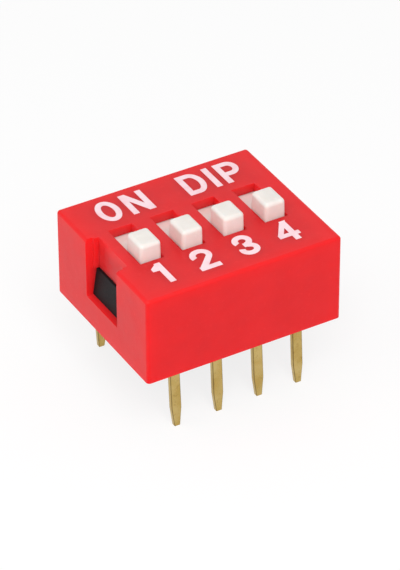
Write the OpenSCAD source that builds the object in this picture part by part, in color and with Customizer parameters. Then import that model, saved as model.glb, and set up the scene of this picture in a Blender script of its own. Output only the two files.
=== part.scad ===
// Four-way slide switch for a circuit board, in a dual-in-line housing.
// Millimetres. +X runs along the row of positions, -Y is the numbered edge (off), +Y is on, +Z is up.
// The origin is the middle of the underside, where the housing seats on the board.

/* [Layout] */
// Number of switch positions in the row
positions = 4; // [1:1:12]
// Distance between neighbouring positions
pitch = 2.54; // [2.5:0.01:2.8]

/* [Housing] */
// Length that the housing adds to the row of positions
end_margin = 1.74; // [1.5:0.02:2.4]
// Width of the housing across the two rows of pins
body_w = 9.9; // [9.2:0.05:12]
// Distance from the middle of each row of pins to the housing's long side
row_margin = 1.14; // [1:0.01:1.4]
// Height of the housing above the board
body_h = 5.3; // [5.2:0.05:6.5]
// Radius of the housing's upright and top edges
edge_r = 0.2; // [0.1:0.05:0.5]
// Thickness of the top wall
top_wall = 0.55; // [0.4:0.05:0.7]
// Thickness of the two end walls
end_wall = 1; // [0.9:0.05:1.1]
// Thickness of the two long walls
side_wall = 0.7; // [0.5:0.05:0.72]
// Thickness of the ribs that keep the sliders apart
rib_t = 0.5; // [0.3:0.05:0.55]

/* [Latches] */
// Width of the recess in the end wall beside position 1
notch_w = 3.35; // [2:0.05:5]
// Depth of that recess
notch_depth = 0.43; // [0.3:0.01:0.5]
// Radius of the recess's upright edges
notch_r = 0.12; // [0.05:0.01:0.3]
// Width of the ledge down each side of the recess
ledge_w = 0.13; // [0.05:0.01:0.3]
// Depth of the channel between the ledges
channel_depth = 0.74; // [0.6:0.01:0.8]
// Height of the sill under each latch
latch_z = 1.64; // [1.2:0.02:2]
// Height of each latch's window
latch_h = 1.85; // [1.2:0.01:2.2]
// Gap round a latch in its window
latch_gap = 0.04; // [0.02:0.01:0.1]
// Depth of a latch's face behind the end of the housing, at its foot
latch_foot = 0.36; // [0.25:0.01:0.45]
// Depth of a latch's face behind the end of the housing, at its top
latch_top = 0.62; // [0.5:0.01:0.75]

/* [Base] */
// Thickness of the base's floor
floor_t = 1.5; // [1.2:0.05:1.6]
// Width of a cell in the base
cell_w = 1.5; // [1.4:0.05:1.6]
// Distance from the middle of each row of pins to the end of a cell
cell_inset = 0.51; // [0.3:0.01:0.7]
// Gap between the base and the cover
base_gap = 0.04; // [0.02:0.01:0.08]
// Width of a sealing trough, from the middle of its row of pins inwards
trough_in = 0.45; // [0.35:0.05:0.8]
// Depth of a sealing trough
trough_h = 0.6; // [0.4:0.05:0.8]
// Distance that the sealing compound stays above the board
seal_rise = 0.1; // [0.05:0.05:0.3]
// Distance from the end of a sealing trough to the end of the base
trough_end = 0.5; // [0.3:0.05:0.7]

/* [Sliders] */
// Width of a knob along the row
knob_w = 1.32; // [1:0.02:1.4]
// Length of a knob along its travel
knob_l = 1.65; // [1.2:0.05:1.8]
// Height of a knob above the housing
knob_h = 1; // [0.5:0.05:2]
// Narrowing of a knob towards its top, on each side
knob_draft = 0.04; // [0:0.01:0.1]
// Radius of a knob's edges
knob_r = 0.22; // [0.05:0.01:0.3]
// Distance that a slider travels from off to on
travel = 1.75; // [1.6:0.05:2.2]
// Gap between a knob and each side of its slot
knob_gap = 0.05; // [0.04:0.01:0.12]
// Gap between a knob and the end of its slot at either stop
stop_gap = 0.07; // [0.03:0.01:0.1]
// Thickness of a slider's plate
plate_t = 0.5; // [0.35:0.05:0.6]
// Width of a slider's plate
plate_w = 1.86; // [1.7:0.02:1.9]
// Gap between the end of a slider's plate and the cover's wall at either stop
plate_end_gap = 0.09; // [0.05:0.01:0.2]
// Gap above and below a slider's plate
plate_gap = 0.05; // [0.03:0.01:0.08]
// Length of the block under a slider's plate
block_l = 2.6; // [2:0.1:3]
// Gap between that block and each side of its cell
block_gap = 0.1; // [0.05:0.01:0.15]

/* [Contacts] */
// Height of a contact spring
spring_h = 0.85; // [0.7:0.05:1.1]
// Thickness of a contact spring
spring_t = 0.12; // [0.08:0.01:0.15]
// Width of a contact spring
spring_w = 1; // [0.8:0.05:1.15]
// Distance between a contact spring's two feet
spring_feet = 2.7; // [2.4:0.1:2.8]
// Length of the flat that a contact spring is held by
spring_flat = 0.9; // [0.8:0.05:1]
// Width of the slit that divides each arm of a contact spring
slit_w = 0.2; // [0.1:0.02:0.3]
// Running gap under a contact spring's feet
foot_gap = 0.03; // [0.02:0.01:0.05]
// Diameter of the stake that holds a contact spring
stake_d = 0.4; // [0.3:0.02:0.5]
// Diameter of the stake's head
stake_head_d = 0.7; // [0.6:0.02:0.8]

/* [Terminals] */
// Thickness of the terminals' sheet
sheet_t = 0.3; // [0.2:0.02:0.35]
// Inner radius of a terminal's bend
bend_r = 0.15; // [0.05:0.05:0.25]
// Width of a terminal's contact pad
pad_w = 1.1; // [0.9:0.05:1.3]
// Width of the gap between the two pads of a position
pad_break = 0.4; // [0.3:0.05:0.6]
// Distance from the middle of the housing to the off side's pad end
pad_reach = 0.6; // [0.5:0.05:0.7]
// Width of a pin
pin_w = 0.54; // [0.4:0.02:0.7]
// Width of a pin's tip
tip_w = 0.34; // [0.2:0.02:0.4]
// Length of a pin's tapered tip
tip_l = 1.1; // [0.6:0.05:1.5]
// Length of a pin below the board's surface
pin_l = 4; // [3:0.05:4.5]
// Outward lean of the pins, in degrees
pin_splay = 4; // [0:0.5:5]
// Height of the shoulders where a terminal narrows to its pin
shoulder_z = 0.8; // [0.7:0.05:1]

/* [Hidden] */
$fn = 48;
// Small step, and how far a cutting shape runs past what it cuts
eps = 0.01;
over = 1;

// The housing's own sizes
body_l = positions * pitch + end_margin;
row_spacing = body_w - 2 * row_margin;
cavity_l = body_l - 2 * end_wall;
cavity_w = body_w - 2 * side_wall;
ceiling_z = body_h - top_wall;
channel_w = notch_w - 2 * ledge_w;
window_z = latch_z + latch_h;

// The slider's own sizes, and where it stands at its off stop
slot_w = knob_w + 2 * knob_gap;
slot_l = travel + knob_l + 2 * stop_gap;
plate_l = cavity_w - travel - 2 * plate_end_gap;
plate_top = ceiling_z - plate_gap;
plate_z = plate_top - plate_t;
off_y = -travel / 2;

// The base fills the cover up to the sliders' plates
cell_l = row_spacing - 2 * cell_inset;
base_l = cavity_l - 2 * base_gap;
base_w = cavity_w - 2 * base_gap;
base_top = plate_z - plate_gap;
rib_gap = 0.1;
latch_root = 0.2;

// The contact spring stands between the pads and the slider's block
foot_z = floor_t + foot_gap;
block_z = floor_t + spring_h;
block_w = cell_w - 2 * block_gap;
arm_l = (spring_feet - spring_flat) / 2;
toe_l = 0.35;
toe_lift = 0.16;
spring_top = block_z - spring_t / 2;
spring_low = foot_z + spring_t / 2;
spring_drop = spring_top - spring_low;
spring_steps = 20;

// The stake's head sits just under the spring
stake_head_h = 0.14;
stake_gap = 0.03;
stake_z = block_z - spring_t - stake_gap;

// The trough round a row of pins, measured from the middle of the housing
trough_y = row_spacing / 2 - trough_in;
trough_l = base_l - 2 * trough_end;

// Place of position i along the row
function place_x(i) = (i - (positions + 1) / 2) * pitch;

// The position that pin n serves: pins count along the front row and back along the rear row
function pin_position(n) = n <= positions ? n : 2 * positions + 1 - n;

// The side of the housing that pin n stands on
function pin_side(n) = n <= positions ? -1 : 1;

// Lays a flat outline, drawn as Y and Z, along the row
module along_row(length) {
    rotate([90, 0, 90])
        linear_extrude(length, center = true)
            children();
}

// Lays a flat outline, drawn as X and Z, across the row
module across_row(length) {
    rotate([90, 0, 0])
        linear_extrude(length, center = true)
            children();
}

// A rectangle with four round corners
module round_plan(l, w, r) {
    square([l - 2 * r, w], center = true);
    square([l, w - 2 * r], center = true);
    for (x = [-1, 1], y = [-1, 1])
        translate([x * (l / 2 - r), y * (w / 2 - r)])
            circle(r);
}

// An upright face on Y or X = 0 with two round top corners, narrower by draft on each side at its top
module round_face(w, h, r, draft) {
    lean = atan2(draft, h);
    corner_x = w / 2 - draft * (h - r) / h - r / cos(lean);
    side_x = corner_x + r * cos(lean);
    side_z = h - r + r * sin(lean);
    polygon([[-w / 2, 0], [w / 2, 0], [side_x, side_z], [corner_x, h], [-corner_x, h], [-side_x, side_z]]);
    for (side = [-1, 1])
        translate([side * corner_x, h - r])
            circle(r);
}

// A block on z = 0 with round upright and top edges
module round_block(l, w, h, r, draft = 0) {
    intersection() {
        linear_extrude(h)
            round_plan(l, w, r);
        along_row(l + eps)
            round_face(w, h, r, draft);
        across_row(w + eps)
            round_face(l, h, r, draft);
    }
}

// A box that is centred along X and Y and stands on z
module box_on(l, w, h, z) {
    translate([-l / 2, -w / 2, z])
        cube([l, w, h]);
}

// Everything that the cover leaves open inside: one room, with a rib hanging between neighbouring sliders
module cover_room() {
    difference() {
        box_on(cavity_l, cavity_w, ceiling_z + over, -over);
        for (i = [1 : 1 : positions - 1])
            translate([place_x(i) + pitch / 2, 0, 0])
                box_on(rib_t, cavity_w + over, ceiling_z, base_top + rib_gap);
    }
}

// The window for the latch at the +X end
module latch_window() {
    translate([cavity_l / 2 - over, -channel_w / 2, latch_z])
        cube([end_wall + 2 * over, channel_w, latch_h]);
}

// A recess over that window, open at the top: a channel with round lips and a ledge at each side
module end_notch() {
    face_x = body_l / 2;
    lip_y = notch_w / 2 + notch_r;
    translate([face_x - notch_depth, -notch_w / 2, latch_z])
        cube([notch_depth + over, notch_w, body_h]);
    translate([face_x - channel_depth, -channel_w / 2, window_z])
        cube([channel_depth + over, channel_w, body_h]);
    translate([face_x - notch_r, 0, latch_z])
        linear_extrude(body_h)
            difference() {
                translate([0, -lip_y])
                    square([notch_r + over, 2 * lip_y]);
                for (side = [-1, 1])
                    translate([0, side * lip_y])
                        circle(notch_r);
            }
}

// The red cover: walls and top in one moulding, open underneath
module cover() {
    color([0.87, 0.2, 0.21])
        difference() {
            round_block(body_l, body_w, body_h, edge_r);
            cover_room();
            for (i = [1 : positions])
                translate([place_x(i), 0, 0])
                    box_on(slot_w, slot_l, top_wall + 2 * over, ceiling_z - over);
            for (end = [0, 1])
                mirror([end, 0, 0])
                    latch_window();
            mirror([1, 0, 0])
                end_notch();
        }
}

// The latch at the +X end of the base: its face leans out towards the foot, which hooks on the window's sill
module latch() {
    root_x = base_l / 2 - latch_root;
    face_x = body_l / 2;
    low_z = latch_z + latch_gap;
    high_z = window_z - latch_gap;
    across_row(channel_w - 2 * latch_gap)
        polygon([
            [root_x, low_z],
            [face_x - latch_foot, low_z],
            [face_x - latch_top, high_z],
            [root_x, high_z]
        ]);
}

// The black base: a floor with a walled cell for each position, moulded round the terminals
module base() {
    color([0.17, 0.18, 0.19])
        difference() {
            union() {
                box_on(base_l, base_w, base_top, 0);
                for (end = [0, 1])
                    mirror([end, 0, 0])
                        latch();
            }
            for (i = [1 : positions])
                translate([place_x(i), 0, 0])
                    box_on(cell_w, cell_l, base_top, floor_t);
            for (side = [0, 1])
                mirror([0, side, 0])
                    trough(-over, base_w);
            for (n = [1 : 2 * positions])
                terminal_form(n);
        }
}

// The room of the sealing trough on the +Y side, from z up to the trough's roof and out to y
module trough(z, y) {
    translate([-trough_l / 2, trough_y, z])
        cube([trough_l, y - trough_y, trough_h - z]);
}

// The strip of sealing compound round the pins of one side, -1 front or 1 rear
module seal(side) {
    color([0.13, 0.12, 0.11])
        difference() {
            mirror([0, side < 0 ? 1 : 0, 0])
                trough(seal_rise, cavity_w / 2);
            for (n = [1 : 2 * positions])
                if (pin_side(n) == side)
                    terminal_form(n);
        }
}

// A slider at its off stop: a guide plate under the cover, a knob above it, a block and a stake below
module slider(i) {
    color([0.93, 0.91, 0.88])
        translate([place_x(i), off_y, 0]) {
            box_on(plate_w, plate_l, plate_t, plate_z);
            box_on(block_w, block_l, plate_z - block_z, block_z);
            translate([0, 0, plate_z])
                round_block(knob_w, knob_l, body_h + knob_h - plate_z, knob_r, knob_draft);
            translate([0, 0, stake_z - stake_head_h])
                cylinder(d = stake_d, h = block_z - stake_z + stake_head_h);
            translate([0, 0, stake_z - stake_head_h])
                cylinder(d1 = stake_d, d2 = stake_head_d, h = stake_head_h);
        }
}

// Height of the middle of the spring's sheet at a distance s from its centre
function spring_line(s) =
    s <= spring_flat / 2 ? spring_top :
    s <= spring_feet / 2 ? spring_low + spring_drop * (1 + cos(180 * (s - spring_flat / 2) / arm_l)) / 2 :
    spring_low + toe_lift * (1 - cos(90 * (s - spring_feet / 2) / toe_l));

// Slope of that line, in degrees
function spring_slope(s) = atan((spring_line(s + eps) - spring_line(s - eps)) / (2 * eps));

// A point on the upper (1) or lower (-1) face of the spring's sheet, at a place y on either side
function spring_point(y, face) =
    let (slope = spring_slope(abs(y)) * (y < 0 ? -1 : 1))
    [y - face * spring_t / 2 * sin(slope), spring_line(abs(y)) + face * spring_t / 2 * cos(slope)];

// A contact spring under its slider: a held flat with two bowed arms, each slit into two fingers
module contact(i) {
    reach = spring_feet / 2 + toe_l;
    color([0.83, 0.68, 0.36])
        translate([place_x(i), off_y, 0])
            difference() {
                along_row(spring_w)
                    polygon(concat(
                        [for (k = [-spring_steps : spring_steps]) spring_point(reach * k / spring_steps, 1)],
                        [for (k = [-spring_steps : spring_steps]) spring_point(-reach * k / spring_steps, -1)]
                    ));
                for (side = [-1, 1])
                    translate([0, side * (spring_flat / 2 + reach), 0])
                        box_on(slit_w, 2 * reach, block_z, 0);
                cylinder(d = stake_d + 2 * stake_gap, h = block_z + over);
            }
}

// Side view of a terminal on the +Y side: its pad from y, the bend, and the pin leaning out under the board
module terminal_side(y) {
    bend_y = row_spacing / 2 - sheet_t / 2 - bend_r;
    bend_z = floor_t - sheet_t - bend_r;
    pin_y = bend_y + bend_r;
    lean_y = pin_l * tan(pin_splay);
    translate([y, floor_t - sheet_t])
        square([bend_y - y, sheet_t]);
    intersection() {
        translate([bend_y, bend_z])
            difference() {
                circle(bend_r + sheet_t);
                circle(bend_r);
            }
        translate([bend_y, bend_z])
            square(bend_r + sheet_t);
    }
    translate([pin_y, 0])
        square([sheet_t, bend_z]);
    polygon([[pin_y, 0], [pin_y + lean_y, -pin_l], [pin_y + sheet_t + lean_y, -pin_l], [pin_y + sheet_t, 0]]);
}

// Front view of a terminal: a wide pad, shoulders, and a pin with a tapered tip
module terminal_front() {
    tip_z = tip_l - pin_l;
    polygon([
        [-pad_w / 2, floor_t],
        [-pad_w / 2, shoulder_z],
        [-pin_w / 2, shoulder_z],
        [-pin_w / 2, tip_z],
        [-tip_w / 2, -pin_l],
        [tip_w / 2, -pin_l],
        [pin_w / 2, tip_z],
        [pin_w / 2, shoulder_z],
        [pad_w / 2, shoulder_z],
        [pad_w / 2, floor_t]
    ]);
}

// The blank of terminal n, where it stands in the base
module terminal_form(n) {
    side = pin_side(n);
    pad_end = side < 0 ? -pad_reach : pad_reach + pad_break;
    translate([place_x(pin_position(n)), 0, 0])
        mirror([0, side < 0 ? 1 : 0, 0])
            intersection() {
                along_row(pad_w)
                    terminal_side(pad_end);
                across_row(2 * body_w)
                    terminal_front();
            }
}

// Terminal n: a stamped and bent strip with its contact pad level with the cell's floor
module terminal(n) {
    color([0.8, 0.66, 0.37])
        terminal_form(n);
}

cover();
base();
seal(-1);  // seal_front
seal(1);  // seal_rear
for (i = [1 : positions]) {
    slider(i);
    contact(i);
}
for (n = [1 : 2 * positions])
    terminal(n);
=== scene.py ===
import math

import bmesh
import bpy
from mathutils import Matrix, Vector
from mathutils.geometry import delaunay_2d_cdt


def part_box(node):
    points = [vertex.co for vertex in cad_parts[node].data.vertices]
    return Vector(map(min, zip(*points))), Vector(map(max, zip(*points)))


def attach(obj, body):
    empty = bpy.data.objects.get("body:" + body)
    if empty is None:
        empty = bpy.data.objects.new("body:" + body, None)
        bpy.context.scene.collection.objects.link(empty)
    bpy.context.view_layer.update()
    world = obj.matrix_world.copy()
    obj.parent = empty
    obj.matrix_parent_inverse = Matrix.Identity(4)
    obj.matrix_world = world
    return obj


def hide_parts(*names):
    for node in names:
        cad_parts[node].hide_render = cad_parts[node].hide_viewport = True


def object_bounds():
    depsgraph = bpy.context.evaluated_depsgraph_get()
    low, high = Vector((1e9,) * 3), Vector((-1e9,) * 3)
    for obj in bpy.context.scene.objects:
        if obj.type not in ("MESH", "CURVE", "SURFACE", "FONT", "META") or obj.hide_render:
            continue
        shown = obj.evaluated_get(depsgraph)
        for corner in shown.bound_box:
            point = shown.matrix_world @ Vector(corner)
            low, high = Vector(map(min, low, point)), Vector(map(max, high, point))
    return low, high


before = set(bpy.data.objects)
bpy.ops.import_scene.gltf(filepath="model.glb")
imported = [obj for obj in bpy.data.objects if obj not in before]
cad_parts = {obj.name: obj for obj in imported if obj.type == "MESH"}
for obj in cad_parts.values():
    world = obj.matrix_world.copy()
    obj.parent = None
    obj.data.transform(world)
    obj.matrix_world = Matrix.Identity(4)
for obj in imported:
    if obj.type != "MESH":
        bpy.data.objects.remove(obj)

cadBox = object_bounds()
mm = 0.001
over = 1 * mm  # how far a cutting block runs past what it cuts
flatAngle = math.radians(0.5)  # faces that turn less than this are merged
sharpAngle = math.radians(30)  # edges that turn more than this are rounded
shadingAngle = math.radians(35)  # and past this the shading stays sharp


def screenColour(red, green, blue):
    # a colour as a screen shows it, 0 to 255, as the linear numbers that a shader takes
    linear = []
    for channel in (red, green, blue):
        share = channel / 255
        linear.append(share / 12.92 if share <= 0.04045 else ((share + 0.055) / 1.055) ** 2.4)
    return (*linear, 1.0)


white = (1, 1, 1, 1)


class Sock:
    # one socket of a node tree: arithmetic on it adds Math nodes to that tree
    def __init__(self, maker, socket):
        self.maker = maker
        self.socket = socket

    def pick(self, name):
        return Sock(self.maker, self.socket.node.outputs[name])

    def sums(self, operation, *values):
        return self.maker.add("ShaderNodeMath", {"operation": operation}, values)

    def __add__(self, other):
        return self.sums("ADD", self, other)

    def __radd__(self, other):
        return self.sums("ADD", other, self)

    def __sub__(self, other):
        return self.sums("SUBTRACT", self, other)

    def __rsub__(self, other):
        return self.sums("SUBTRACT", other, self)

    def __mul__(self, other):
        return self.sums("MULTIPLY", self, other)

    def __rmul__(self, other):
        return self.sums("MULTIPLY", other, self)

    def __truediv__(self, other):
        return self.sums("DIVIDE", self, other)

    def __rtruediv__(self, other):
        return self.sums("DIVIDE", other, self)

    def __pow__(self, other):
        return self.sums("POWER", self, other)

    def __neg__(self):
        return self.sums("MULTIPLY", self, -1)

    def __abs__(self):
        return self.sums("ABSOLUTE", self)

    def __gt__(self, other):
        return self.sums("GREATER_THAN", self, other)

    def __lt__(self, other):
        return self.sums("LESS_THAN", self, other)

    def side(self):
        return self.sums("SIGN", self)  # -1, 0 or 1

    def atLeast(self, other):
        return self.sums("MAXIMUM", self, other)

    def atMost(self, other):
        return self.sums("MINIMUM", self, other)

    def kept(self):
        return self.atLeast(0).atMost(1)  # held between 0 and 1


class NodeMaker:
    # adds nodes to one tree, of shaders or of geometry
    def __init__(self, tree):
        self.tree = tree

    def add(self, kind, settings=None, values=None, output=0):
        node = self.tree.nodes.new(kind)
        for name, value in (settings or {}).items():
            setattr(node, name, value)
        pairs = values.items() if isinstance(values, dict) else enumerate(values or [])
        for key, value in pairs:
            self.feed(node.inputs[key], value)
        return Sock(self, node.outputs[output]) if len(node.outputs) else None

    def feed(self, socket, value):
        if isinstance(value, Sock):
            self.tree.links.new(value.socket, socket)
        elif isinstance(value, list):
            for one in reversed(value):  # a socket that takes several links
                self.tree.links.new(one.socket, socket)
        else:
            socket.default_value = value

    def vector(self, *values):
        return self.add("ShaderNodeCombineXYZ", None, values)

    def parts(self, vector):
        split = self.add("ShaderNodeSeparateXYZ", None, [vector])
        return [split.pick(axis) for axis in "XYZ"]

    def vectors(self, operation, *values):
        return self.add("ShaderNodeVectorMath", {"operation": operation}, values)

    def mixed(self, share, first, second):
        # sockets 6 and 7 of a Mix node are its two colours, and output 2 is the mixed one
        return self.add("ShaderNodeMix", {"data_type": "RGBA"}, {0: share, 6: first, 7: second}, 2)


# ---- camera, light and floor
cameraLook = {
    "azimuth": -30.055,  # degrees round the switch, 0 looks at the numbered edge
    "elevation": 35.735,
    "roll": -0.168,
    "distance": 196.9 * mm,
    "lens": 231.64,  # mm
    "sensor": 36,  # mm
    "clip": (1 * mm, 10),
    "aimHeight": 2.9 * mm,
    "aimRight": 0.088 * mm,
    "aimUp": -1.358 * mm,
}


def towards(azimuth, elevation):
    # the direction from the switch to something at these angles, in degrees
    turn = math.radians(azimuth)
    rise = math.radians(elevation)
    level = math.cos(rise)
    return Vector((math.sin(turn) * level, -math.cos(turn) * level, math.sin(rise)))


def placeCamera(look):
    back = towards(look["azimuth"], look["elevation"])
    level = towards(look["azimuth"] + 90, 0)
    right = Matrix.Rotation(math.radians(look["roll"]), 3, back) @ level
    up = back.cross(right)
    aim = Vector((0, 0, look["aimHeight"])) + right * look["aimRight"] + up * look["aimUp"]
    lens = bpy.data.cameras.new("camera")
    lens.lens = look["lens"]
    lens.sensor_width = look["sensor"]
    lens.clip_start, lens.clip_end = look["clip"]
    camera = bpy.data.objects.new("camera", lens)
    camera.location = aim + back * look["distance"]
    camera.rotation_euler = Matrix((right, up, back)).transposed().to_euler()
    bpy.context.scene.collection.objects.link(camera)
    bpy.context.scene.camera = camera


placeCamera(cameraLook)
bpy.context.scene.view_settings.view_transform = "Standard"
print("camera placed")


def newMaterial(name):
    material = bpy.data.materials.new(name)
    material.use_nodes = True
    material.node_tree.nodes.clear()
    return material, NodeMaker(material.node_tree)


lightLook = {
    "ambient": 0.55,  # strength of the even light from all round
    "background": 0.9,  # what the camera and reflections see above the floor
    "lamps": [
        # name, azimuth, elevation, distance, size, watts
        ("keyLamp", -22, 50, 150 * mm, 90 * mm, 0.124),
        ("fillLamp", -100, 40, 180 * mm, 120 * mm, 0.05),
    ],
    "lampAim": (0, 0, 2 * mm),
}


def seenDirectly(make):
    # 1 where the camera, a reflection or glass sees the surface, 0 where it only gives light
    ray = make.add("ShaderNodeLightPath")
    kinds = [ray.pick(f"Is {kind} Ray") for kind in ("Camera", "Glossy", "Transmission")]
    return (kinds[0] + kinds[1] + kinds[2]).kept()


def makeWorld(look):
    world = bpy.data.worlds.new("studio")
    world.use_nodes = True
    world.node_tree.nodes.clear()
    make = NodeMaker(world.node_tree)
    strength = look["ambient"] + seenDirectly(make) * (look["background"] - look["ambient"])
    sky = make.add("ShaderNodeBackground", None, {"Color": white, "Strength": strength})
    make.add("ShaderNodeOutputWorld", None, {"Surface": sky})
    bpy.context.scene.world = world


def placeLamp(name, azimuth, elevation, distance, size, watts, aim):
    back = towards(azimuth, elevation)
    lamp = bpy.data.lights.new(name, "AREA")
    lamp.size = size
    lamp.energy = watts
    holder = bpy.data.objects.new(name, lamp)
    holder.location = Vector(aim) + back * distance
    holder.rotation_euler = back.to_track_quat("Z", "Y").to_euler()
    bpy.context.scene.collection.objects.link(holder)


floorLook = {
    "size": 900 * mm,
    "colour": white,
    "shadow": 0.2,  # share of the object's shadow that shows
}


def makeFloor(look):
    half = look["size"] / 2
    ground = cadBox[0][2]
    mesh = bpy.data.meshes.new("floor")
    corners = [(x * half, y * half, ground) for x, y in ((-1, -1), (1, -1), (1, 1), (-1, 1))]
    mesh.from_pydata(corners, [], [(0, 1, 2, 3)])
    floor = bpy.data.objects.new("floor", mesh)
    bpy.context.scene.collection.objects.link(floor)
    material, make = newMaterial("floorPaper")
    lit = make.add("ShaderNodeBsdfDiffuse", None, {"Color": look["colour"]})
    shining = make.add("ShaderNodeEmission", None, {"Color": white, "Strength": 1.0})
    direct = seenDirectly(make) * (1 - look["shadow"])
    paper = make.add("ShaderNodeMixShader", None, [direct, lit, shining])
    make.add("ShaderNodeOutputMaterial", None, {"Surface": paper})
    mesh.materials.append(material)


makeWorld(lightLook)
for lampRow in lightLook["lamps"]:
    placeLamp(*lampRow, lightLook["lampAim"])
makeFloor(floorLook)
print("studio ready")


# ---- finishes
def inMillimetres(make):
    place = make.add("ShaderNodeTexCoord").pick("Object")
    return make.vectors("MULTIPLY", place, (1 / mm, 1 / mm, 1 / mm))


def noiseAt(make, place, scale, detail=2.0, stretch=(1, 1, 1)):
    # noise from 0 to 1, with scale bumps in a millimetre
    stretched = make.vectors("MULTIPLY", place, stretch)
    values = {"Vector": stretched, "Scale": scale, "Detail": detail}
    return make.add("ShaderNodeTexNoise", None, values)


def risen(noise, rise):
    # 0 as far as the first number of the rise, then up to 1 at the steepness of the second
    start, steepness = rise
    return ((noise - start) * steepness).kept()


def attributeOf(make, name):
    return make.add("ShaderNodeAttribute", {"attribute_name": name}).pick("Fac")


def finishedWith(make, height, values):
    # the surface with these values, and a relief from a height in millimetres
    relief = make.add("ShaderNodeBump", None, {"Strength": 1.0, "Distance": mm, "Height": height})
    surface = make.add("ShaderNodeBsdfPrincipled", None, {**values, "Normal": relief})
    make.add("ShaderNodeOutputMaterial", None, {"Surface": surface})


def paintedEdgeLightMask(make, place, size, width, uprightShare):
    # 1 on a block's top edges and a share of that on its upright ones, fading to 0: the mask of
    # the light painted along the edges
    x, y, z = make.parts(place)
    acrossX = size[0] / 2 - abs(x)
    acrossY = size[1] / 2 - abs(y)
    toTop = acrossX.atMost(acrossY).atLeast(size[2] - z)
    toUpright = acrossX.atLeast(acrossY)
    return (1 - toTop / width).atLeast((1 - toUpright / width) * uprightShare).kept()


mouldedLook = {  # what all three plastics share
    "cloudRise": (0.35, 2.5),
    "speckleRise": (0.62, 6),
    # painted light along the edges: share of its colour, and what the clouds add to it
    "paintedEdgeLightShare": (0.6, 0.3),  # share of the rim's colour, and what the clouds add to it
    # painted light on the cut walls: share of its colour, and what the clouds add to it
    "paintedWallLightShare": (0.85, 0.3),
}


def plasticFinish(name, look):
    # moulded plastic: slow clouds in the colour, a fine spark-eroded grain and a faint waviness
    material, make = newMaterial(name)
    place = inMillimetres(make)
    clouds = noiseAt(make, place, look["cloudScale"], 3.0)
    grain = noiseAt(make, place, look["grainScale"], 2.0)
    waves = noiseAt(make, place, look["waveScale"], 1.0)
    speckle = risen(noiseAt(make, place, look["grainScale"] / 3, 1.0), mouldedLook["speckleRise"])
    cloudy = make.mixed(risen(clouds, mouldedLook["cloudRise"]), look["shade"], look["colour"])
    colour = make.mixed(speckle * look["speckle"], cloudy, look["light"])
    if "paintedWallLight" in look:
        # painted light: a brighter red is painted along the block's edges and on the marked walls,
        # standing in for light that shines through the plastic there
        rim = paintedEdgeLightMask(make, place, look["blockSize"], look["paintedEdgeLightWidth"], look["uprightPaintedEdgeLight"])
        share, more = mouldedLook["paintedEdgeLightShare"]
        colour = make.mixed(rim * (share + clouds * more), colour, look["rim"])
        # painted light: the walls of the slots and the recess get a brighter red, against the
        # shade that falls in them
        share, more = mouldedLook["paintedWallLightShare"]
        paintedWallLight = attributeOf(make, "paintedWallLight") * (share + clouds * more).kept()
        colour = make.mixed(paintedWallLight, colour, look["paintedWallLight"])
    uneven = (grain - 0.5) + (clouds - 0.5)
    finishedWith(make, grain * look["grainHeight"] + waves * look["waveHeight"], {
        "Base Color": colour,
        "Roughness": look["roughness"] + uneven * look["roughnessSpread"],
        "IOR": look["ior"],
        "Subsurface Weight": look["glow"],
        "Subsurface Radius": look["glowRadius"],
        "Subsurface Scale": look["glowScale"],
    })
    return material


coverLook = {
    "colour": screenColour(231, 27, 33),
    "shade": screenColour(224, 21, 28),
    "light": screenColour(238, 44, 48),
    # painted light: the brighter red painted on the walls of the slots and the latch recess
    "paintedWallLight": screenColour(238, 40, 44),
    # painted light: the red painted along the block's edges
    "rim": screenColour(230, 14, 20),
    "paintedEdgeLightWidth": 0.9,  # mm
    "uprightPaintedEdgeLight": 0.5,  # share of the rim's glow at the upright edges
    "blockSize": [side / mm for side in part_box("cover")[1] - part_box("cover")[0]],
    "cloudScale": 0.6,
    "grainScale": 14.0,
    "waveScale": 0.7,
    "speckle": 0.35,
    "roughness": 0.4,
    "roughnessSpread": 0.12,
    "grainHeight": 0.004,
    "waveHeight": 0.03,
    "ior": 1.37,
    "glow": 0.8,  # share of the light that spreads under the surface
    "glowRadius": (1.0, 0.08, 0.06),
    "glowScale": 1.5 * mm,
}
baseLook = {
    "colour": screenColour(14, 15, 18),
    "shade": screenColour(9, 10, 13),
    "light": screenColour(32, 34, 37),
    "cloudScale": 1.2,
    "grainScale": 12.0,
    "waveScale": 0.9,
    "speckle": 0.4,
    "roughness": 0.6,
    "roughnessSpread": 0.16,
    "grainHeight": 0.006,
    "waveHeight": 0.02,
    "ior": 1.32,
    "glow": 0.0,
    "glowRadius": (1.0, 1.0, 1.0),
    "glowScale": 0.1 * mm,
}
sliderLook = {
    "colour": screenColour(241, 236, 231),
    "shade": screenColour(233, 228, 222),
    "light": screenColour(249, 246, 241),
    "cloudScale": 1.1,
    "grainScale": 10.0,
    "waveScale": 1.4,
    "speckle": 0.4,
    "roughness": 0.42,
    "roughnessSpread": 0.1,
    "grainHeight": 0.004,
    "waveHeight": 0.02,
    "ior": 1.5,
    "glow": 0.4,
    "glowRadius": (1.0, 0.8, 0.7),
    "glowScale": 0.3 * mm,
}
goldLook = {
    "colour": screenColour(186, 157, 88),
    "pale": screenColour(204, 180, 118),
    "dull": screenColour(139, 112, 62),
    # painted shade: the darker colour at the strip's corners
    "paintedCornerShade": screenColour(100, 82, 49),
    "paleRise": (0.4, 3),
    "dullRise": (0.6, 4),
    "dullShare": 0.7,
    "paintedCornerShadeShare": (0.5, 0.5),  # share of the painted shade colour at a corner, and what the specks add to it
    "patchScale": 0.9,
    "speckScale": 5.0,
    "roughness": 0.27,
    "roughnessSpread": 0.14,
    "streakScale": 9.0,
    "streakHeight": 0.0035,
}
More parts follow.
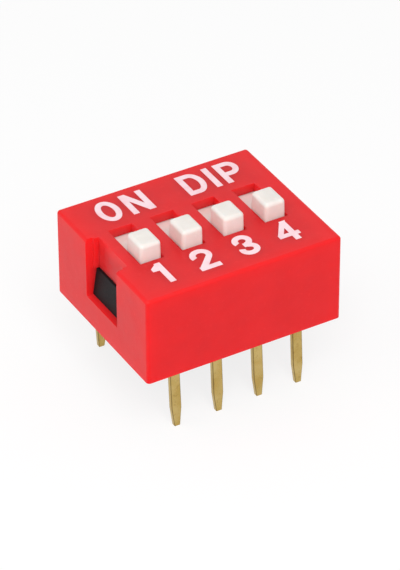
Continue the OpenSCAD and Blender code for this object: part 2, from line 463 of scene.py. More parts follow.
sealLook = {
    "colour": (0.012, 0.010, 0.009, 1),
    "dusty": (0.055, 0.048, 0.042, 1),
    "dustRise": (0.5, 3),
    "dustScale": 2.5,
    "roughness": 0.22,
    "roughRise": (0.4, 0.8),
    "craterRise": (0.0, 4),
    "bubbleScale": 3.0,
    "bubbleHeight": 0.01,
}
inkLook = {
    "colour": screenColour(252, 224, 230),
    "thin": screenColour(246, 176, 186),
    "thinRise": (0.45, 3),
    "thinScale": 1.6,
    "pinholeRise": (0.6, 4),
    "roughness": 0.5,
    "roughnessSpread": 0.2,
    "grainScale": 9.0,
    "grainHeight": 0.003,
}


def goldFinish(look):
    # plated strip: drawing streaks along the pins, paler and duller patches
    material, make = newMaterial("goldPlate")
    place = inMillimetres(make)
    streaks = noiseAt(make, place, look["streakScale"], 3.0, (1, 1, 0.06))
    patches = noiseAt(make, place, look["patchScale"], 3.0)
    specks = noiseAt(make, place, look["speckScale"], 2.0)
    warm = make.mixed(risen(patches, look["paleRise"]), look["colour"], look["pale"])
    plated = make.mixed(risen(specks, look["dullRise"]) * look["dullShare"], warm, look["dull"])
    # painted shade: the corners of the strip get a darker colour
    corner = attributeOf(make, "corner")
    share, more = look["paintedCornerShadeShare"]
    uneven = (streaks - 0.5) + (patches - 0.5) + corner
    finishedWith(make, (streaks + specks) * look["streakHeight"], {
        "Base Color": make.mixed(corner * (share + specks * more), plated, look["paintedCornerShade"]),
        "Metallic": 1.0,
        "Roughness": look["roughness"] + uneven * look["roughnessSpread"],
    })
    return material


def sealFinish(look):
    # cast resin: glossy, with small craters where bubbles burst and a little dust
    material, make = newMaterial("sealResin")
    place = inMillimetres(make)
    cells = make.add("ShaderNodeTexVoronoi", None, {"Vector": place, "Scale": look["bubbleScale"]})
    crater = risen(cells.pick("Distance"), look["craterRise"])
    dust = noiseAt(make, place, look["dustScale"], 4.0)
    finishedWith(make, (crater + dust) * look["bubbleHeight"], {
        "Base Color": make.mixed(risen(dust, look["dustRise"]), look["colour"], look["dusty"]),
        "Roughness": look["roughness"] + risen(dust, look["roughRise"]),
    })
    return material


def inkFinish(look):
    # pad-printed ink: thin in places and full of pinholes, so that the plastic shows through
    material, make = newMaterial("printInk")
    place = inMillimetres(make)
    grain = noiseAt(make, place, look["grainScale"], 3.0)
    patches = noiseAt(make, place, look["thinScale"], 3.0)
    thin = (risen(patches, look["thinRise"]) + risen(grain, look["pinholeRise"])) / 2
    finishedWith(make, grain * look["grainHeight"], {
        "Base Color": make.mixed(thin, look["colour"], look["thin"]),
        "Roughness": look["roughness"] + (grain - 0.5) * look["roughnessSpread"],
    })
    return material


redPlastic = plasticFinish("redPlastic", coverLook)
blackPlastic = plasticFinish("blackPlastic", baseLook)
whitePlastic = plasticFinish("whitePlastic", sliderLook)
goldPlate = goldFinish(goldLook)
sealResin = sealFinish(sealLook)
printInk = inkFinish(inkLook)
print("finishes mixed")


# ---- shared building blocks
def newTree(name, inputs):
    # a geometry tree with named inputs, given as {name: usual value}
    tree = bpy.data.node_groups.new(name, "GeometryNodeTree")
    tree.interface.new_socket("Geometry", in_out="OUTPUT", socket_type="NodeSocketGeometry")
    kinds = {int: "NodeSocketInt", float: "NodeSocketFloat", tuple: "NodeSocketVector"}
    for label, value in inputs.items():
        socket = tree.interface.new_socket(label, in_out="INPUT", socket_type=kinds[type(value)])
        socket.default_value = value
    make = NodeMaker(tree)
    start = tree.nodes.new("NodeGroupInput")
    given = {label: Sock(make, start.outputs[label]) for label in inputs}
    return tree, make, given


def endTree(make, shape, material):
    real = make.add("GeometryNodeRealizeInstances", None, [shape])
    if material:
        real = make.add("GeometryNodeSetMaterial", None, {"Geometry": real, "Material": material})
    make.add("NodeGroupOutput", None, [real])


def linked(name, mesh):
    piece = bpy.data.objects.new(name, mesh)
    bpy.context.scene.collection.objects.link(piece)
    return piece


def grow(name, tree, values):
    # runs a tree with these inputs and returns the result as a plain mesh object
    holder = linked("holder", bpy.data.meshes.new("holder"))
    run = holder.modifiers.new("build", "NODES")
    run.node_group = tree
    for item in tree.interface.items_tree:
        if item.in_out == "INPUT" and item.name in values:
            run[item.identifier] = values[item.name]
    graph = bpy.context.evaluated_depsgraph_get()
    mesh = bpy.data.meshes.new_from_object(holder.evaluated_get(graph))
    holder.modifiers.remove(run)
    bpy.data.objects.remove(holder)
    mesh.name = name
    return linked(name, mesh)


def moved(make, shape, place=(0, 0, 0), turn=(0, 0, 0)):
    return make.add("GeometryNodeTransform", None, {
        "Geometry": shape,
        "Translation": place,
        "Rotation": turn,
    })


def halfTurned(make, shape):
    return moved(make, shape, (0, 0, 0), (0, 0, math.pi))


def reshaped(make, shape, place):
    # the shape with its points set to this place
    return make.add("GeometryNodeSetPosition", None, {"Geometry": shape, "Position": place})


def shifted(make, shape, step):
    return make.add("GeometryNodeSetPosition", None, {"Geometry": shape, "Offset": step})


def spanOf(make, low, high):
    # size and middle of the box between two corners
    size = make.vector(*[b - a for a, b in zip(low, high)])
    middle = make.vector(*[(a + b) / 2 for a, b in zip(low, high)])
    return size, middle


def blockBetween(make, low, high):
    size, middle = spanOf(make, low, high)
    return moved(make, make.add("GeometryNodeMeshCube", None, {"Size": size}), middle)


def uprightBlock(make, wide, deep, foot, top):
    # a block of this width and depth, centred on the Z axis
    return blockBetween(make, [wide / -2, deep / -2, foot], [wide / 2, deep / 2, top])


def rowOf(make, shape, count, pitch):
    # copies of a shape along X, centred on the origin
    start = make.vector((count - 1) * pitch / -2, 0, 0)
    line = make.add("GeometryNodeMeshLine", None, {
        "Count": count,
        "Start Location": start,
        "Offset": make.vector(pitch, 0, 0),
    })
    return make.add("GeometryNodeInstanceOnPoints", None, {"Points": line, "Instance": shape})


def joined(make, shapes):
    return make.add("GeometryNodeJoinGeometry", None, [shapes])


def fused(make, shapes):
    settings = {"operation": "UNION", "solver": "EXACT"}
    return make.add("GeometryNodeMeshBoolean", settings, {"Mesh 2": shapes})


def cut(make, shape, tools):
    settings = {"operation": "DIFFERENCE", "solver": "EXACT"}
    return make.add("GeometryNodeMeshBoolean", settings, {
        "Mesh 1": shape,
        "Mesh 2": tools,
        "Self Intersection": True,
    })


def carrying(make, shape, name, value, domain, kind="FLOAT"):
    # the shape with a named attribute
    return make.add("GeometryNodeStoreNamedAttribute", {"data_type": kind, "domain": domain}, {
        "Geometry": shape,
        "Name": name,
        "Value": value,
    })


def marked(make, shape):
    # the walls that this shape cuts carry an attribute, and the finish paints a brighter red on
    # them as painted light
    return carrying(make, shape, "paintedWallLight", 1.0, "FACE")


def roundedBlockTree():
    # a block with round edges, narrower by the draft at its top. All grid lines lie in the round
    # strips, spaced so that each step turns by the same angle, and the flats stay single faces.
    tree, make, given = newTree("roundedBlock", {
        "Size": (1.0, 1.0, 1.0),
        "Radius": 0.1,
        "Draft": 0.0,
        "Steps": 5,
    })
    steps = given["Steps"]
    radius = given["Radius"]
    count = steps * 2 + 2
    cube = make.add("GeometryNodeMeshCube", None, {
        "Size": (1, 1, 1),
        "Vertices X": count,
        "Vertices Y": count,
        "Vertices Z": count,
    })
    place = make.parts(make.add("GeometryNodeInputPosition"))
    size = make.parts(given["Size"])
    spread = []
    kept = []
    for along, full in zip(place, size):
        flat = full / 2 - radius
        share = (abs(along) * (count - 1) - 0.5) / steps
        reach = flat + radius * along.sums("TANGENT", share * (math.pi / 4))
        spread.append(along.side() * reach)
        kept.append(along.side() * reach.atMost(flat))
    core = make.vector(*kept)
    outward = make.vectors("NORMALIZE", make.vectors("SUBTRACT", make.vector(*spread), core))
    bulge = make.vectors("MULTIPLY", outward, make.vector(radius, radius, radius))
    x, y, z = make.parts(make.vectors("ADD", core, bulge))
    narrowing = given["Draft"] * 2 * (z / size[2] + 0.5)
    drafted = make.vector(x * (1 - narrowing / size[0]), y * (1 - narrowing / size[1]), z)
    endTree(make, reshaped(make, cube, drafted), None)
    return tree


roundedBlock = roundedBlockTree()


def roundedUpright(make, wide, deep, foot, top, radius, steps, draft=0.0):
    # as uprightBlock, with round edges
    size, middle = spanOf(make, [wide / -2, deep / -2, foot], [wide / 2, deep / 2, top])
    block = make.add("GeometryNodeGroup", {"node_tree": roundedBlock}, {
        "Size": size,
        "Radius": radius,
        "Draft": draft,
        "Steps": steps,
    })
    return moved(make, block, middle)


def softened(piece, width, segments, weightOf):
    # rounds the sharp edges, each by the share of width that weightOf gives, and evens the shading
    weld = 0.0005 * mm
    worked = bmesh.new()
    worked.from_mesh(piece.data)
    bmesh.ops.remove_doubles(worked, verts=worked.verts, dist=weld)
    bmesh.ops.dissolve_limit(worked, angle_limit=flatAngle, verts=worked.verts, edges=worked.edges)
    share = worked.edges.layers.float.new("bevel_weight_edge")
    for edge in worked.edges:
        if edge.is_manifold and edge.calc_face_angle() > sharpAngle:
            edge[share] = weightOf(edge)
    worked.to_mesh(piece.data)
    worked.free()
    bevel = piece.modifiers.new("softEdges", "BEVEL")
    bevel.width = width
    bevel.segments = segments
    bevel.limit_method = "WEIGHT"
    bevel.use_clamp_overlap = True
    smoothed(piece)


def smoothed(piece):
    mesh = piece.data
    mesh.polygons.foreach_set("use_smooth", [True] * len(mesh.polygons))
    mesh.set_sharp_from_angle(angle=shadingAngle)
    even = piece.modifiers.new("evenShading", "WEIGHTED_NORMAL")
    even.keep_sharp = True


def dressed(piece, material, slotName, body, *nodes):
    piece.data.materials.clear()
    piece.data.materials.append(material)
    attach(piece, body)
    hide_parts(*nodes)


# ---- the row: how many sliders, and how far apart
sliderNodes = [name for name in sorted(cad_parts) if name.startswith("slider_")]
positions = len(sliderNodes)
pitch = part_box("slider_2")[0].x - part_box("slider_1")[0].x
coverLow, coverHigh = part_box("cover")
baseLow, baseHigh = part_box("base")


# ---- cover
coverShape = {
    "Edge radius": 0.2 * mm,
    "Top wall": 0.55 * mm,
    "End wall": 1.0 * mm,
    "Side wall": 0.7 * mm,
    "Rib thickness": 0.5 * mm,
    "Slot": (1.42 * mm, 3.54 * mm, 0.0),
    "Notch width": 3.35 * mm,
    "Notch depth": 0.43 * mm,
    "Ledge width": 0.13 * mm,
    "Channel depth": 0.74 * mm,
    "Sill": 1.64 * mm,
    "Window height": 1.7 * mm,
}
coverEdges = {"lip": 0.12 * mm, "fine": 0.04 * mm, "segments": 3, "roundSteps": 6}
ribGap = 0.1 * mm  # between a rib's foot and the base


def coverTree():
    inputs = {"Positions": 4, "Pitch": 1.0, "Size": (1.0, 1.0, 1.0), "Rib foot": 1.0, **coverShape}
    tree, make, given = newTree("coverBuild", inputs)
    length, width, height = make.parts(given["Size"])
    slotWide, slotLong, _ = make.parts(given["Slot"])
    radius = given["Edge radius"]
    ceiling = height - given["Top wall"]
    farX = length / 2 + over
    roomX = length / 2 - given["End wall"]
    roomY = width / 2 - given["Side wall"]
    sill = given["Sill"]
    outside = roundedUpright(
        make, length, width, -radius - over, height, radius, coverEdges["roundSteps"])
    under = blockBetween(make, [-length, -width, -2 * over - radius], [length, width, 0.0])
    room = blockBetween(make, [-roomX, -roomY, -over], [roomX, roomY, ceiling])
    slot = uprightBlock(make, slotWide, slotLong, ceiling - over, height + over)
    slots = rowOf(make, slot, given["Positions"], given["Pitch"])
    # the window goes right through both ends, and the recess over it is only beside position 1
    notchY = given["Notch width"] / 2
    channelY = notchY - given["Ledge width"]
    notchX = given["Notch depth"] - length / 2
    channelX = given["Channel depth"] - length / 2
    windowTop = sill + given["Window height"]
    window = blockBetween(make, [-farX, -notchY, sill], [farX, notchY, windowTop])
    notch = blockBetween(make, [-farX, -notchY, sill], [notchX, notchY, height + over])
    channel = blockBetween(make, [-farX, -channelY, sill], [channelX, channelY, height + over])
    recess = fused(make, [notch, channel, window])
    # the walls of the slots and the recess carry the attribute for their painted light
    opened = cut(make, outside, [under, room, marked(make, slots), marked(make, recess)])
    ribX = given["Rib thickness"] / 2
    ribY = roomY + over / 4
    rib = blockBetween(make, [-ribX, -ribY, given["Rib foot"]], [ribX, ribY, ceiling + over / 4])
    ribs = rowOf(make, rib, given["Positions"] - 1, given["Pitch"])
    endTree(make, fused(make, [opened, ribs]), redPlastic)
    return tree


def coverEdgeWeight(edge):
    # the lips of the latch recess are rounder than the other edges
    near = 0.01 * mm
    start, end = (vert.co for vert in edge.verts)
    middle = (start + end) / 2
    upright = abs((start - end).normalized().z) > 0.9
    atEnd = abs(middle.x - coverLow.x) < near
    atLip = abs(abs(middle.y) - coverShape["Notch width"] / 2) < near
    return 1.0 if upright and atEnd and atLip else coverEdges["fine"] / coverEdges["lip"]


def makeCover():
    cover = grow("coverShell", coverTree(), {
        "Positions": positions,
        "Pitch": pitch,
        "Size": tuple(coverHigh - coverLow),
        "Rib foot": baseHigh.z + ribGap,
    })
    softened(cover, coverEdges["lip"], coverEdges["segments"], coverEdgeWeight)
    dressed(cover, redPlastic, "cover_red", "housing", "cover")


makeCover()
print("cover made")


# ---- base
baseShape = {
    "Floor": 1.5 * mm,
    "Cell": (1.5 * mm, 6.6 * mm, 0.0),
    "Cover gap": 0.04 * mm,
    "Trough start": 3.36 * mm,
    "Trough end": 0.5 * mm,
    "Trough depth": 0.6 * mm,
    "Pad": (1.1 * mm, 0.6 * mm, 1.0 * mm),  # width, and where the front and the rear pads end
    "Pad sheet": 0.3 * mm,
    "Latch": (3.27 * mm, 1.68 * mm, 3.3 * mm),  # width, and the heights of its foot and its top
    "Latch slope": 0.26 * mm,  # how far its top stands back from its foot
}
baseEdges = {"fine": 0.03 * mm, "segments": 2}


def baseTree():
    # a block with a walled cell for each position, beds for the pads, a trough under each row of
    # pins and a latch at each end
    tree, make, given = newTree("baseBuild", {
        "Positions": 4,
        "Pitch": 1.0,
        "Size": (1.0, 1.0, 1.0),
        "End wall": 1.0,
        "Cover length": 1.0,
        **baseShape,
    })
    length, width, height = make.parts(given["Size"])
    endX = given["Cover length"] / 2 - given["End wall"] - given["Cover gap"]
    floor = given["Floor"]
    cellWide, cellLong, _ = make.parts(given["Cell"])
    block = blockBetween(make, [-endX, width / -2, 0.0], [endX, width / 2, height])
    cell = uprightBlock(make, cellWide, cellLong, floor, height + over)
    cells = rowOf(make, cell, given["Positions"], given["Pitch"])
    padWide, frontEnd, rearEnd = make.parts(given["Pad"])
    padX = padWide / 2
    padY = cellLong / 2
    padFoot = floor - given["Pad sheet"]
    frontBed = blockBetween(make, [-padX, -padY, padFoot], [padX, -frontEnd, floor + over])
    rearBed = blockBetween(make, [-padX, rearEnd, padFoot], [padX, padY, floor + over])
    beds = rowOf(make, joined(make, [frontBed, rearBed]), given["Positions"], given["Pitch"])
    troughX = endX - given["Trough end"]
    troughY = given["Trough start"]
    troughTop = given["Trough depth"]
    trough = blockBetween(make, [-troughX, troughY, -over], [troughX, width, troughTop])
    latchWide, latchLow, latchHigh = make.parts(given["Latch"])
    latch = uprightBlock(make, length, latchWide, latchLow, latchHigh)
    x, y, z = make.parts(make.add("GeometryNodeInputPosition"))
    lean = given["Latch slope"] * (z - latchLow) / (latchHigh - latchLow)
    latch = reshaped(make, latch, make.vector(x - x.side() * lean, y, z))
    solid = fused(make, [block, latch])
    endTree(make, cut(make, solid, [cells, beds, trough, halfTurned(make, trough)]), blackPlastic)
    return tree


def makeBase():
    base = grow("baseMoulding", baseTree(), {
        "Positions": positions,
        "Pitch": pitch,
        "Size": tuple(baseHigh - baseLow),
        "End wall": coverShape["End wall"],
        "Cover length": coverHigh.x - coverLow.x,
    })
    softened(base, baseEdges["fine"], baseEdges["segments"], lambda edge: 1.0)
    dressed(base, blackPlastic, "base_black", "housing", "base")


makeBase()
print("base made")


# ---- sliders
sliderShape = {
    "Knob": (1.32 * mm, 1.65 * mm, 0.0),
    "Knob radius": 0.22 * mm,
    "Knob draft": 0.04 * mm,
    "Plate top": 4.7 * mm,
    "Plate thickness": 0.5 * mm,
    "Plate radius": 0.05 * mm,
    "Block": (1.3 * mm, 2.6 * mm, 0.0),
    "Block foot": 2.35 * mm,
    "Stake diameter": 0.4 * mm,
    "Stake head": 0.7 * mm,
    "Stake head height": 0.14 * mm,
    "Stake head rim": 0.01 * mm,  # how far the head's foot stands out from the stake
}
sliderSteps = {"knob": 5, "plate": 2, "stake": 32}


def sliderTree():
    # one slider, centred on its own box: knob, guide plate, block and the headed stake under it
    tree, make, given = newTree("sliderBuild", {
        "Middle": (0.0, 0.0, 0.0),
        "Plate": (1.0, 1.0, 0.0),
        "Foot": 1.0,
        "Top": 1.0,
        **sliderShape,
    })
    knobX, knobY, _ = make.parts(given["Knob"])
    plateX, plateY, _ = make.parts(given["Plate"])
    blockX, blockY, _ = make.parts(given["Block"])
    plateTop = given["Plate top"]
    plateFoot = plateTop - given["Plate thickness"]
    small = given["Plate radius"]
    fewSteps = sliderSteps["plate"]
    knob = roundedUpright(
        make, knobX, knobY, plateFoot + small, given["Top"],
        given["Knob radius"], sliderSteps["knob"], given["Knob draft"])
    plate = roundedUpright(make, plateX, plateY, plateFoot, plateTop, small, fewSteps)
    block = roundedUpright(
        make, blockX, blockY, given["Block foot"], plateTop - small, small, fewSteps)
    stakeTop = given["Block foot"] + small
    stem = make.add("GeometryNodeMeshCylinder", None, {
        "Vertices": sliderSteps["stake"],
        "Radius": given["Stake diameter"] / 2,
        "Depth": stakeTop - given["Foot"],
    })
    head = make.add("GeometryNodeMeshCone", None, {
        "Vertices": sliderSteps["stake"],
        "Radius Top": given["Stake head"] / 2,
        "Radius Bottom": given["Stake diameter"] / 2 + given["Stake head rim"],
        "Depth": given["Stake head height"],
    })
    stem = moved(make, stem, make.vector(0.0, 0.0, (stakeTop + given["Foot"]) / 2))
    head = moved(make, head, make.vector(0.0, 0.0, given["Foot"]))
    whole = fused(make, [knob, plate, block, stem, head])
    endTree(make, moved(make, whole, given["Middle"]), whitePlastic)
    return tree


def makeSliders():
    tree = sliderTree()
    for node in sliderNodes:
        low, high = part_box(node)
        slider = grow(node.replace("_", "Knob"), tree, {
            "Middle": ((low.x + high.x) / 2, (low.y + high.y) / 2, 0.0),
            "Plate": (high.x - low.x, high.y - low.y, 0.0),
            "Foot": low.z,
            "Top": high.z,
        })
        smoothed(slider)
        dressed(slider, whitePlastic, "slider_white", node, node)


makeSliders()
print("sliders made")


# ---- terminals
pinShape = {
    "Sheet": 0.3 * mm,
    "Bend radius": 0.15 * mm,
    "Pad width": 1.1 * mm,
    "Pin width": 0.6 * mm,
    "Pin offset": 0.05 * mm,  # from the middle of its pad, towards the last position
    "Tip width": 0.34 * mm,
    "Tip length": 1.1 * mm,
    "Shoulder": 0.8 * mm,
    "Edge radius": 0.05 * mm,
    "End chamfer": 0.16 * mm,
    "End taper": 0.22,  # how much the very end narrows, as a share
    "Corner start": 0.9,  # where the painted corner shade starts, as a share of the edge radius
}
pinSteps = {"bend": 10, "path": 150, "edge": 3}
pinSpread = {
    "splay": 4,  # degrees that the rows lean outwards
    "seed": 1023,
    "lean": 0.02,  # how far a pin leans from its fellows, as a slope
    "play": 0.06 * mm,  # how far it stands from its even place in the row
}


def pinTree():
    # one terminal as a strip along its bent path; the origin is where the pin leaves the base
    inputs = {"Pad start": 4.0, "Pad height": 1.0, "Length": 4.0, "Lean": 0.1, **pinShape}
    tree, make, given = newTree("pinBuild", inputs)
    middleZ = given["Pad height"] - given["Sheet"] / 2
    path = make.add("GeometryNodeCurvePrimitiveQuadrilateral", {"mode": "POINTS"}, {
        "Point 1": make.vector(0.0, given["Pad start"], middleZ),
        "Point 2": make.vector(0.0, 0.0, middleZ),
        "Point 3": (0, 0, 0),
        "Point 4": make.vector(0.0, -given["Lean"], -given["Length"]),
    })
    path = make.add("GeometryNodeSetSplineCyclic", None, {"Geometry": path, "Cyclic": False})
    path = make.add("GeometryNodeFilletCurve", {"mode": "POLY"}, {
        "Curve": path,
        "Radius": given["Bend radius"] + given["Sheet"] / 2,
        "Count": pinSteps["bend"],
    })
    path = make.add("GeometryNodeResampleCurve", None, {"Curve": path, "Count": pinSteps["path"]})
    along = make.add("GeometryNodeSplineParameter").pick("Factor")
    rest = (1 - along) * make.add("GeometryNodeSplineLength").pick("Length")
    blunt = (1 - (rest / given["End chamfer"]).kept()) ** 2
    swell = 1 - blunt * given["End taper"]
    path = make.add("GeometryNodeSetCurveRadius", None, {"Curve": path, "Radius": swell})
    outline = make.add("GeometryNodeCurvePrimitiveQuadrilateral", {"mode": "RECTANGLE"}, {
        "Width": given["Pin width"],
        "Height": given["Sheet"],
    })
    outline = make.add("GeometryNodeFilletCurve", {"mode": "POLY"}, {
        "Curve": outline,
        "Radius": given["Edge radius"],
        "Count": pinSteps["edge"],
    })
    x, y, z = make.parts(make.add("GeometryNodeInputPosition"))
    # painted shade: the corners carry an attribute for the darker colour of the finish
    thin = given["Edge radius"] * given["Corner start"]
    onEdge = abs(x) > given["Pin width"] / 2 - thin
    onFace = abs(y) > given["Sheet"] / 2 - thin
    outline = carrying(make, outline, "corner", onEdge * onFace, "POINT")
    strip = make.add("GeometryNodeCurveToMesh", None, {
        "Curve": path,
        "Profile Curve": outline,
        "Fill Caps": True,
    })
    tip = ((given["Tip length"] - given["Length"] - z) / given["Tip length"]).kept()
    wide = given["Pin width"] + (given["Tip width"] - given["Pin width"]) * tip
    wide = wide + (given["Pad width"] - wide) * (z > given["Shoulder"])
    place = make.vector(x * wide / given["Pin width"], y, z.atLeast(-given["Length"]))
    endTree(make, reshaped(make, strip, place), None)
    return tree


def pinRowsTree():
    # both rows: each pin leans and stands a little its own way below its shoulder
    tree, make, given = newTree("pinRowsBuild", {
        "Positions": 4,
        "Pitch": 1.0,
        "Row": 1.0,
        "Front pad end": 1.0,
        "Rear pad end": 1.0,
        "Pad height": 1.0,
        "Length": 4.0,
        "Lean": 0.1,
        "Seed": 1,
        "Spread": 0.01,
        "Play": 0.01,
        **pinShape,
    })
    pin = pinTree()
    own = {label: given[label] for label in ("Pad height", "Length", "Lean", *pinShape)}
    rows = []
    for padEnd in ("Front pad end", "Rear pad end"):
        start = given[padEnd] + given["Row"]
        one = make.add("GeometryNodeGroup", {"node_tree": pin}, {"Pad start": start, **own})
        row = rowOf(make, one, given["Positions"], given["Pitch"])
        rows.append(moved(make, row, make.vector(0.0, -given["Row"], 0.0)))
    pins = joined(make, [rows[0], halfTurned(make, rows[1])])
    kind = "FLOAT_VECTOR"
    sway = make.add("FunctionNodeRandomValue", {"data_type": kind}, {
        0: (-1, -1, -1),
        1: (1, 1, 1),
        "Seed": given["Seed"],
    })
    pins = carrying(make, pins, "sway", sway, "INSTANCE", kind)
    pins = make.add("GeometryNodeRealizeInstances", None, [pins])
    height = make.parts(make.add("GeometryNodeInputPosition"))[2]
    named = make.add("GeometryNodeInputNamedAttribute", {"data_type": kind}, {"Name": "sway"})
    swayX, swayY, loose = make.parts(named)
    slope = height.atMost(0) * given["Spread"]
    aside = (given["Pin offset"] + loose * given["Play"]) * (height < given["Shoulder"])
    pins = shifted(make, pins, make.vector(swayX * slope + aside, swayY * slope, 0.0))
    endTree(make, pins, goldPlate)
    return tree


def pinLean():
    # how far a pin's tip stands outside its row
    return math.tan(math.radians(pinSpread["splay"])) * -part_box("terminal_1")[0].z


def pinRow():
    # distance from the middle of the switch to the middle of a row of pins
    return -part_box("terminal_1")[0].y - pinLean() - pinShape["Sheet"] / 2


def makeTerminals():
    nodes = [f"terminal_{number}" for number in range(1, 2 * positions + 1)]
    low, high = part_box(nodes[0])
    rearLow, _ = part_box(nodes[-1])
    pins = grow("terminalPins", pinRowsTree(), {
        "Positions": positions,
        "Pitch": pitch,
        "Row": pinRow(),
        "Front pad end": high.y,
        "Rear pad end": -rearLow.y,
        "Pad height": high.z,
        "Length": -low.z,
        "Lean": pinLean(),
        "Seed": pinSpread["seed"],
        "Spread": pinSpread["lean"],
        "Play": pinSpread["play"],
    })
    smoothed(pins)
    dressed(pins, goldPlate, "gold_plate", "housing", *nodes)


makeTerminals()
print("terminals made")


# ---- sealing compound
sealShape = {
    "Pin": (pinShape["Pin width"], pinShape["Sheet"], 0.0),
    "Pin offset": pinShape["Pin offset"],
    "Hollow": 0.07 * mm,  # how far the face sinks between the pins and the walls
    "Wetting": 0.11 * mm,  # how far the compound climbs up to a pin or a wall
    "Columns": 150,
    "Lines": 16,
}


def sealTree():
    # a strip under each row of pins: its hollow face climbs to every pin and wall that it wets
    tree, make, given = newTree("sealBuild", {
        "Positions": 4,
        "Pitch": 1.0,
        "Row": 1.0,
        "Low": (0.0, 0.0, 0.0),
        "High": (1.0, 1.0, 1.0),
        **sealShape,
    })
    low = make.parts(given["Low"])
    high = make.parts(given["High"])
    size, middle = spanOf(make, low, high)
    strip = make.add("GeometryNodeMeshCube", None, {
        "Size": size,
        "Vertices X": given["Columns"],
        "Vertices Y": given["Lines"],
        "Vertices Z": 2,
    })
    strip = moved(make, strip, middle)
    x, y, z = make.parts(make.add("GeometryNodeInputPosition"))
    y = abs(y)
    half = given["Pitch"] / 2
    first = (given["Positions"] - 1) * -half + given["Pin offset"]
    fromPin = x.sums("WRAP", x - first, half, -half)
    pinX, pinY, _ = make.parts(given["Pin"])
    besideX = (abs(fromPin) - pinX / 2).atLeast(0)
    besideY = (abs(y - given["Row"]) - pinY / 2).atLeast(0)
    away = (besideX ** 2 + besideY ** 2) ** 0.5
    for place, start, end in ((x, low[0], high[0]), (y, low[1], high[1])):
        away = away.atMost(place - start).atMost(end - place)
    sunk = given["Hollow"] * (1 - x.sums("EXPONENT", -away / given["Wetting"]))
    under = z < (low[2] + high[2]) / 2
    strips = joined(make, [strip, halfTurned(make, strip)])
    endTree(make, shifted(make, strips, make.vector(0.0, 0.0, sunk * under)), sealResin)
    return tree


def makeSeals():
    low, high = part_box("seal_rear")
    seals = grow("sealStrips", sealTree(), {
        "Positions": positions,
        "Pitch": pitch,
        "Row": pinRow(),
        "Low": tuple(low),
        "High": tuple(high),
    })
    smoothed(seals)
    dressed(seals, sealResin, "seal_compound", "housing", "seal_front", "seal_rear")


makeSeals()
print("seals made")


# ---- printing on the top: two plain words and the position numbers
printShape = {
    "ink": 0.018,  # all in millimetres: how far the ink stands up
    "weight": 0.34,  # how thick the strokes are
    "wordHeight": 1.92,
    "numberHeight": 1.85,
    # each letter with its left side and its width
    "words": [
        ("O", -4.27, 1.32), ("N", -2.55, 1.37),
        ("D", 0.96, 1.34), ("I", 2.62, 0.34), ("P", 3.32, 1.26)],
    "wordFoot": 2.4,
    "numbers": [("1", -4.3, 0.7), ("2", -2.03, 1.24), ("3", 0.57, 1.16), ("4", 3.0, 1.26)],
    "numberFoot": -3.96,
}


def bar(left, foot, right, top):
    return [((left, foot), (right, foot)), ((left, top), (right, top))]


def slant(footLeft, foot, topLeft, top, wide):
    # a leaning bar with level ends
    return [((footLeft, foot), (footLeft + wide, foot)), ((topLeft, top), (topLeft + wide, top))]


def bend(x, y, radiusX, radiusY, start, end, weight, steps=28):
    # part of an oval band round x, y, from one angle in degrees to another
    pairs = []
    for step in range(steps + 1):
        angle = math.radians(start + (end - start) * step / steps)
        pairs.append(tuple(
            (x + (radiusX + edge) * math.cos(angle), y + (radiusY + edge) * math.sin(angle))
            for edge in (-weight / 2, weight / 2)))
    return pairs


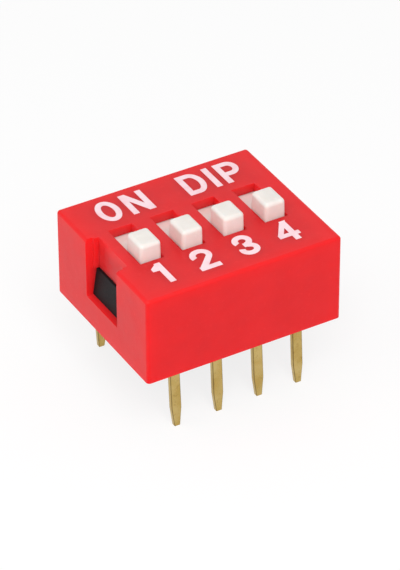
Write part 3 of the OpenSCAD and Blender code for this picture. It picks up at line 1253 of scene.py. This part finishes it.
def strokesOf(letter, w, h, t):
    # the strokes of a letter w wide and h tall, t thick, each as pairs of points on its two edges
    middle = w / 2
    reach = middle - t / 2
    stem = bar(0, 0, t, h)
    bowlTop = 0.655 * h  # height of the bowl of the P
    bowlX = w - 0.3 * h
    loop = 0.285 * h  # half the height of each loop of the 3
    hook = 0.69 * h
    letters = {
        "O": [bend(middle, h / 2, reach, h / 2 - t / 2, 0, 360, t, 56)],
        "N": [stem, bar(w - t, 0, w, h), slant(w - 1.15 * t, 0, 0, h, 1.15 * t)],
        "D": [
            stem, bar(0, 0, middle, t), bar(0, h - t, middle, h),
            bend(middle, h / 2, reach, h / 2 - t / 2, -90, 90, t)],
        "I": [stem],
        "P": [
            stem, bar(0, h - t, bowlX, h), bar(0, h - bowlTop, bowlX, h - bowlTop + t),
            bend(bowlX, h - bowlTop / 2, w - bowlX - t / 2, bowlTop / 2 - t / 2, -90, 90, t)],
        "1": [
            bar(w - t, 0, w, h),
            [((0, 0.66 * h), (0, 0.8 * h)), ((w - t, 0.65 * h), (w - 0.7 * t, h))]],
        "2": [
            bar(0, 0, w, t),
            bend(middle, hook, reach, h - hook - t / 2, 200, -40, t)
            + [((0, 0.8 * t), (0.47 * w, t))]],
        "3": [
            bar(0.38 * w, h / 2 - t / 2, 0.56 * w, h / 2 + t / 2),
            bend(0.48 * w, h - loop, 0.48 * w - t / 2, loop - t / 2, 205, -80, t),
            bend(middle, loop, reach, loop - t / 2, 85, -200, t)],
        "4": [
            bar(0.56 * w, 0, 0.56 * w + t, h), bar(0, 0.23 * h, w, 0.23 * h + 0.9 * t),
            slant(0, 0.38 * h, 0.6 * w, h, 1.05 * t)],
    }
    return letters[letter]


def addLetter(whole, strokes, left, foot, low, high):
    # welds the strokes into one flat outline and raises it from low to high
    corners = []
    quads = []
    for stroke in strokes:
        for (a, b), (c, d) in zip(stroke, stroke[1:]):
            quads.append([len(corners) + corner for corner in range(4)])
            leftTurn = (b[0] - a[0]) * (c[1] - a[1]) > (b[1] - a[1]) * (c[0] - a[0])
            corners += [a, b, d, c] if leftTurn else [a, c, d, b]
    weld = 1e-5
    flatCorners = [Vector(corner) for corner in corners]
    points, _, areas, _, _, owners = delaunay_2d_cdt(flatCorners, [], quads, 0, weld)
    spots = [whole.verts.new(((left + x) * mm, (foot + y) * mm, low * mm)) for x, y in points]
    flats = [
        whole.faces.new([spots[corner] for corner in area])
        for area, owner in zip(areas, owners) if owner]
    for spot in [spot for spot in spots if not spot.link_faces]:
        whole.verts.remove(spot)
    raised = bmesh.ops.extrude_face_region(whole, geom=flats)["geom"]
    tops = [part for part in raised if isinstance(part, bmesh.types.BMVert)]
    bmesh.ops.translate(whole, verts=tops, vec=(0, 0, (high - low) * mm))


def makePrint(look):
    top = coverHigh.z / mm
    whole = bmesh.new()
    for kind in ("word", "number"):
        foot = look[kind + "Foot"]
        for letter, left, wide in look[kind + "s"]:
            strokes = strokesOf(letter, wide, look[kind + "Height"], look["weight"])
            addLetter(whole, strokes, left, foot, top - look["ink"], top + look["ink"])
    bmesh.ops.dissolve_limit(whole, angle_limit=flatAngle, verts=whole.verts, edges=whole.edges)
    bmesh.ops.recalc_face_normals(whole, faces=whole.faces)
    mesh = bpy.data.meshes.new("topPrint")
    whole.to_mesh(mesh)
    whole.free()
    piece = linked("topPrint", mesh)
    piece.data.materials.append(printInk)
    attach(piece, "housing")


makePrint(printShape)
print("print made")


# ---- contact springs: the frame's own meshes, plated
for node in [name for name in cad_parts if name.startswith("contact_")]:
    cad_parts[node].data.materials[0] = goldPlate
print("contacts plated")
